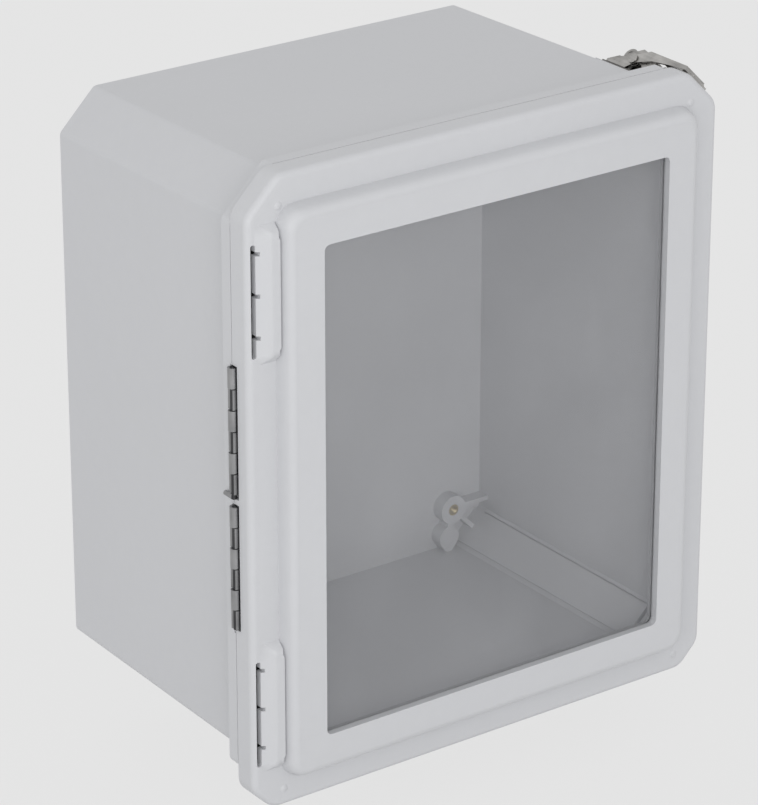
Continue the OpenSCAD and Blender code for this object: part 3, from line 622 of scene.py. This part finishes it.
def brighten_eye(piece, material):
    """Gives the padlock eye, which stands up behind the lever's pivot, the plain latch steel; the rest of
    the base keeps its painted shade.
    """

    def height(co):
        """How far out a point lies, square to the cut corner."""
        return (co.x + abs(co.z)) / math.sqrt(2)

    foot = min(height(vertex.co) for vertex in piece.data.vertices) + EYE_FOOT
    brighten(piece, material, lambda co: height(co) > foot and co.y > EYE_FRONT)


class ENCLOSURE_OT_moulding(bpy.types.Operator):
    """Finish the moulded body and door frame"""

    bl_idname = "enclosure.moulding"
    bl_label = "Moulded body and door"

    def execute(self, context):
        finish = context.scene.enclosure_moulding
        skin = moulded_fiberglass(finish)
        eased("enclosure_body", "moulded_body", skin, finish.edge_radius, MOULDING_STEPS)
        door = merged_copy("door_frame", "moulded_door")
        self.roll_panel(door, finish)
        self.lean_pads(door)
        roll_edges(door, finish.edge_radius, MOULDING_STEPS)
        settle(door, "door_frame", skin)
        return {"FINISHED"}

    def roll_panel(self, door, finish):
        """Rolls the raised panel's front edge over by moving the rings round it."""
        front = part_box("door_frame")[0].y
        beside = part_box("window_pane")[1].x

        def ring(shallow, deep):
            return lambda co: abs(co.x) > beside and shallow < co.y - front < deep

        for shallow, deep, inset, drop in PANEL_RINGS:
            self.shift_ring(door, ring(shallow, deep), inset, drop)
        round_edges(door, ring(*PANEL_TURN), finish.panel_radius, PANEL_STEPS)

    def shift_ring(self, piece, holds, inset, drop):
        """Draws a ring round the Y axis in by one distance and moves it back by another."""
        ring = [vertex.co for vertex in piece.data.vertices if holds(vertex.co)]
        wide = max(co.x for co in ring)
        high = max(co.z for co in ring)
        edit_edges(piece, holds)
        bpy.ops.transform.resize(value=(1 - inset / wide, 1, 1 - inset / high), center_override=(0, 0, 0))
        bpy.ops.transform.translate(value=(0, drop, 0))
        bpy.ops.object.mode_set(mode="OBJECT")

    def lean_pads(self, door):
        """Leans each side pad from its slot up to a narrow rib beside the panel."""
        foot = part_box("door_frame")[0].y + PANEL_RISE

        def within(left, right, low, high):
            return lambda co: left < co.x < right and low < foot - co.y < high

        for left, right, low, high, shift in PAD_SIDES:
            edit_edges(door, within(left, right, low, high))
            bpy.ops.transform.translate(value=(shift, 0, 0))
            bpy.ops.object.mode_set(mode="OBJECT")
        edit_edges(door, within(*PAD_SEAM))
        bpy.ops.transform.resize(value=(SEAM_DROP, SEAM_DROP, 1), center_override=(PANEL_FOOT, foot, 0))
        bpy.ops.object.mode_set(mode="OBJECT")
        edit_edges(door, lambda co: co.x < PAD_NOTCH and JOIN_GAP < foot - co.y)
        bpy.ops.transform.resize(value=(1, PAD_LEAN, 1), center_override=(0, foot, 0))
        bpy.ops.object.mode_set(mode="OBJECT")


class ENCLOSURE_OT_window(bpy.types.Operator):
    """Finish the pane, its retainer and the seals"""

    bl_idname = "enclosure.window"
    bl_label = "Window and seals"

    def execute(self, context):
        finish = context.scene.enclosure_hardware
        paint(clear_pane(finish), "window_pane")
        paint(retainer_plastic(finish.retainer_colour), "window_retainer")
        self.crown_door_seal(finish)
        self.squeeze_window_seal(finish)
        return {"FINISHED"}

    def crown_door_seal(self, finish):
        """Crowns the side of the bead that meets the flange."""
        bead = merged_copy("door_gasket", "door_seal_bead")
        back = max(v.co.y for v in bead.data.vertices)
        round_edges(bead, lambda co: co.y > back - JOIN_GAP, finish.bead_radius, BEAD_STEPS)
        settle(bead, "door_gasket", foamed_seal("door_seal_foam", finish.seal_colour))

    def squeeze_window_seal(self, finish):
        """Draws the seal's inner edge into the opening and rounds its lips."""
        lip = merged_copy("window_gasket", "window_seal_lip")
        reach_x = max(v.co.x for v in lip.data.vertices) - JOIN_GAP
        reach_z = max(v.co.z for v in lip.data.vertices) - JOIN_GAP
        edit_edges(lip, lambda co: abs(co.x) < reach_x and abs(co.z) < reach_z)
        bulge = (1 - finish.lip_bulge / reach_x, 1, 1 - finish.lip_bulge / reach_z)
        bpy.ops.transform.resize(value=bulge, center_override=(0, 0, 0))
        bpy.ops.object.mode_set(mode="OBJECT")
        round_edges(lip, lambda co: True, finish.lip_radius, LIP_STEPS)
        settle(lip, "window_gasket", foamed_seal("window_seal_foam", finish.window_seal_colour))


class ENCLOSURE_OT_screws(bpy.types.Operator):
    """Model one cross-head screw and set a copy in each screw place of the retainer"""

    bl_idname = "enclosure.screws"
    bl_label = "Retainer screws"

    def execute(self, context):
        shape = context.scene.enclosure_screw
        pattern = self.turn_screw(shape)
        self.cut_cross(pattern, shape)
        self.set_copies(pattern, shape)
        return {"FINISHED"}

    def turn_screw(self, shape):
        """A pan head with its shank below it, standing on the retainer at height zero."""
        deselect_all()
        bpy.ops.mesh.primitive_cylinder_add(
            vertices=SCREW_SIDES, radius=shape.head_radius, depth=shape.head_height,
            location=(0, 0, shape.head_height / 2))
        screw = bpy.context.object
        bpy.ops.object.transform_apply(location=True, rotation=True, scale=True)
        top = shape.head_height - JOIN_GAP
        round_edges(screw, lambda co: co.z > top, shape.head_height * PAN_SHARE, PAN_STEPS)
        edit_edges(screw, lambda co: co.z < JOIN_GAP)
        bpy.ops.mesh.select_mode(type="FACE")
        bpy.ops.mesh.inset(thickness=shape.head_radius - shape.shank_radius, depth=0)
        bpy.ops.mesh.extrude_region_move(TRANSFORM_OT_translate={"value": (0, 0, -shape.shank_length)})
        bpy.ops.object.mode_set(mode="OBJECT")
        return screw

    def cut_cross(self, screw, shape):
        """Sinks the two bars of a cross into the head."""
        for turn in (0, math.pi / 2):
            deselect_all()
            bpy.ops.mesh.primitive_cube_add(
                size=1, location=(0, 0, shape.head_height), rotation=(0, 0, turn),
                scale=(shape.cross_length, shape.cross_width, 2 * shape.cross_depth))
            bar = bpy.context.object
            pick(screw)
            sink = screw.modifiers.new("cross", "BOOLEAN")
            sink.operation = "DIFFERENCE"
            sink.object = bar
            bpy.ops.object.modifier_apply(modifier=sink.name)
            bpy.data.objects.remove(bar, do_unlink=True)

    def set_copies(self, pattern, shape):
        """Sets a copy in each screw's place, each turned a step further than the one before."""
        node = frame["nodes"]["retainer_screws"]
        seat = max(v.co.y for v in node.data.vertices) - shape.head_height
        spots = places(node, SCREW_APART * shape.head_radius)
        copies = copies_at(pattern, [(x, seat, z) for x, z in spots])
        for index, copy in enumerate(copies):
            copy.rotation_euler = (-math.pi / 2, index * shape.turn_step, 0)
        screws = copies[0]
        join_to(screws, copies)
        bpy.ops.object.transform_apply(location=True, rotation=True, scale=True)
        screws.name = "cross_head_screws"
        colour = bpy.context.scene.enclosure_hardware.latch_colour
        steel = sheet_steel("screw_steel", colour, EVEN_GRAIN, SCREW_ROUGHNESS)
        settle(screws, "retainer_screws", steel)


class ENCLOSURE_OT_inserts(bpy.types.Operator):
    """Finish the brass inserts and wind a thread into each bore"""

    bl_idname = "enclosure.inserts"
    bl_label = "Threaded inserts"

    def execute(self, context):
        finish = context.scene.enclosure_hardware
        brass = turned_brass(finish.brass_colour)
        for node, pitch in (("panel_inserts", finish.panel_pitch), ("wall_inserts", finish.wall_pitch)):
            piece = eased(node, "finished_" + node, brass, finish.sheet_radius, INSERT_STEPS)
            self.thread_bores(piece, node, pitch, finish.thread_depth)
        return {"FINISHED"}

    def thread_bores(self, piece, node, pitch, depth):
        """Joins a wound thread into each of the node's bores."""
        low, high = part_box(node)
        mount = next(mount for mount in frame["record"]["mounts"] if mount["name"] == node)
        bore = mount["dims"]["hole_r_mm"] * MM
        turns = int((high[1] - low[1]) / pitch) - 1
        start = (low[1] + high[1] - turns * pitch) / 2
        coil = self.wind_coil(bore, pitch, depth, turns)
        finish_with(coil, piece.data.materials[0])
        spots = places(frame["nodes"][node], INSERT_APART * bore)
        join_to(piece, copies_at(coil, [(x, start, z) for x, z in spots]))

    def wind_coil(self, bore, pitch, depth, turns):
        """One ridge with a three-sided section, wound along Y and rooted in the bore's wall."""
        deselect_all()
        corner = depth / CORNER_RISE
        middle = bore + THREAD_ROOT - corner / 2
        bpy.ops.mesh.primitive_circle_add(
            vertices=3, radius=corner, rotation=(0, 0, math.pi / 2), location=(middle, 0, 0))
        coil = bpy.context.object
        bpy.ops.object.transform_apply(location=True, rotation=True, scale=True)
        wind = coil.modifiers.new("wind", "SCREW")
        wind.axis = "Y"
        wind.screw_offset = pitch
        wind.iterations = turns
        wind.steps = THREAD_STEPS
        wind.render_steps = THREAD_STEPS
        bpy.ops.object.modifier_apply(modifier=wind.name)
        bpy.ops.object.mode_set(mode="EDIT")
        bpy.ops.mesh.select_all(action="SELECT")
        bpy.ops.mesh.fill_holes(sides=3)
        bpy.ops.mesh.normals_make_consistent(inside=False)
        bpy.ops.object.mode_set(mode="OBJECT")
        smooth(coil)
        return coil


class ENCLOSURE_OT_hardware(bpy.types.Operator):
    """Finish the hinge, the latches and their rivets"""

    bl_idname = "enclosure.hardware"
    bl_label = "Hinge and latches"

    def execute(self, context):
        finish = context.scene.enclosure_hardware
        latch = sheet_steel(
            "latch_steel", finish.latch_colour, DEEP_GRAIN, roughness=0.3, spread=LATCH_SPREAD)
        hinge = sheet_steel("hinge_steel", finish.hinge_colour, TALL_GRAIN, roughness=0.36)
        # The pins' dark colour is painted shade for the slots between the knuckles
        pin = sheet_steel("pin_steel", finish.pin_shade_colour, WIRE_GRAIN, roughness=0.45)
        # The latch base's dark colour is painted shade under the lever; its padlock eye gets the plain
        # latch steel
        base = sheet_steel("base_painted_shade", finish.base_shade_colour, DEEP_GRAIN, roughness=0.42)
        leaf = sheet_steel("leaf_steel", finish.leaf_colour, TALL_GRAIN, roughness=0.5)
        for name in frame["nodes"]:
            radius = finish.head_radius if "rivets" in name else finish.sheet_radius
            if name.startswith("latch_base"):
                brighten_eye(eased(name, "finished_" + name, base, radius, LATCH_STEPS), latch)
            elif name.startswith("hinge_door_leaf"):
                eased(name, "finished_" + name, leaf, radius, HINGE_STEPS)
            elif name.startswith(("latch_", "lever_", "bail_", "keeper_")):
                eased(name, "finished_" + name, latch, radius, LATCH_STEPS)
            elif name.startswith("hinge_pin"):
                brighten_tail(eased(name, "finished_" + name, pin, radius, HINGE_STEPS), hinge)
            elif name.startswith("hinge_"):
                eased(name, "finished_" + name, hinge, radius, HINGE_STEPS)
        return {"FINISHED"}


class ENCLOSURE_OT_stage(bpy.types.Operator):
    """Set the camera, the floor and the soft light"""

    bl_idname = "enclosure.stage"
    bl_label = "Camera, floor and light"

    def execute(self, context):
        stage = context.scene.enclosure_stage
        context.scene.view_settings.view_transform = "Standard"
        self.set_camera(context, stage)
        self.lay_floor(stage)
        self.hang_lamps(stage)
        self.fill_world(context, stage)
        return {"FINISHED"}

    def set_camera(self, context, stage):
        """Stands the camera where the photograph was taken from."""
        deselect_all()
        bpy.ops.object.camera_add(location=stage.camera_place)
        camera = context.object
        camera.rotation_euler = (math.pi / 2 - stage.elevation, 0, -stage.azimuth)
        camera.data.sensor_width = SENSOR_MM
        camera.data.lens = stage.focal_pixels / PHOTO_LONG_SIDE * SENSOR_MM
        camera.data.clip_end = CAMERA_REACH
        context.scene.camera = camera

    def lay_floor(self, stage):
        """Lays a pale floor under the object, which keeps a little of its shadow."""
        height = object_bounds()[0].z - stage.floor_drop
        deselect_all()
        bpy.ops.mesh.primitive_plane_add(size=FLOOR_WIDTH, location=(0, 0, height))
        floor = bpy.context.object
        floor.name = "floor"
        board = Board("pale_floor")
        speckle = board.noise(size=4 * MM)
        grey = (stage.backdrop,) * 3
        tint = board.tint(speckle, grey, darker=0.995, lighter=1.005)
        lit = board.add("ShaderNodeBsdfDiffuse", {}, {"Color": tint})
        glow = board.add("ShaderNodeEmission", {}, {"Color": (*grey, 1), "Strength": 1.0})
        seen = self.seen_rays(board) * stage.floor_glow
        board.add_output(board.add("ShaderNodeMixShader", {}, {0: seen, 1: lit, 2: glow}))
        floor.data.materials.append(board.material)
        floor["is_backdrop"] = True

    @staticmethod
    def seen_rays(board):
        """One for the rays that show the backdrop: from the camera, off metal and through the pane."""
        kinds = ("Is Camera Ray", "Is Glossy Ray", "Is Transmission Ray")
        camera, glossy, through = (board.add("ShaderNodeLightPath", {}, {}, kind) for kind in kinds)
        rays = camera + glossy + through
        return rays.math("MINIMUM", rays, 1.0)

    def hang_lamps(self, stage):
        """Hangs the soft lamps so that they face the origin."""
        for name, place, width, share in LAMPS:
            deselect_all()
            bpy.ops.object.light_add(type="AREA", location=place)
            lamp = bpy.context.object
            lamp.name = name
            lamp.data.size = width
            lamp.data.energy = stage.key_watts * share
            lamp.rotation_euler = (-Vector(place)).to_track_quat("-Z", "Y").to_euler()

    def fill_world(self, context, stage):
        """Lights the object evenly from all round and shows the backdrop's grey behind it."""
        board = Board("even_light", "worlds")
        grey = (stage.backdrop,) * 3
        light = board.add("ShaderNodeBackground", {}, {"Color": (1, 1, 1, 1), "Strength": stage.fill})
        scenery = board.add("ShaderNodeBackground", {}, {"Color": (*grey, 1), "Strength": 1.0})
        seen = self.seen_rays(board)
        board.add_output(board.add("ShaderNodeMixShader", {}, {0: seen, 1: light, 2: scenery}), "World")
        context.scene.world = board.material


class ENCLOSURE_PT_panel(bpy.types.Panel):
    """Sidebar panel that lists the finishing steps"""

    bl_idname = "ENCLOSURE_PT_panel"
    bl_label = "Wall enclosure"
    bl_space_type = "VIEW_3D"
    bl_region_type = "UI"
    bl_category = "Enclosure"

    def draw(self, context):
        for step in STEPS:
            self.layout.operator(step.bl_idname)
        self.layout.prop(context.scene.enclosure_moulding, "colour")
        self.layout.prop(context.scene.enclosure_hardware, "pane_alpha")
        self.layout.prop(context.scene.enclosure_stage, "fill")


GROUPS = {
    "enclosure_moulding": MouldingFinish,
    "enclosure_hardware": HardwareFinish,
    "enclosure_screw": ScrewShape,
    "enclosure_stage": StageSettings,
}
STEPS = (
    ENCLOSURE_OT_stage,
    ENCLOSURE_OT_moulding,
    ENCLOSURE_OT_window,
    ENCLOSURE_OT_screws,
    ENCLOSURE_OT_inserts,
    ENCLOSURE_OT_hardware,
)
CLASSES = (*GROUPS.values(), *STEPS, ENCLOSURE_PT_panel)


def register():
    for cls in CLASSES:
        bpy.utils.register_class(cls)
    for name, group in GROUPS.items():
        setattr(bpy.types.Scene, name, bpy.props.PointerProperty(type=group))


def unregister():
    for name in GROUPS:
        delattr(bpy.types.Scene, name)
    for cls in reversed(CLASSES):
        bpy.utils.unregister_class(cls)


def main():
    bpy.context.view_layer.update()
    register()
    bpy.ops.enclosure.stage()
    bpy.ops.enclosure.moulding()
    bpy.ops.enclosure.window()
    bpy.ops.enclosure.screws()
    bpy.ops.enclosure.inserts()
    bpy.ops.enclosure.hardware()


if __name__ == "__main__":
    main()
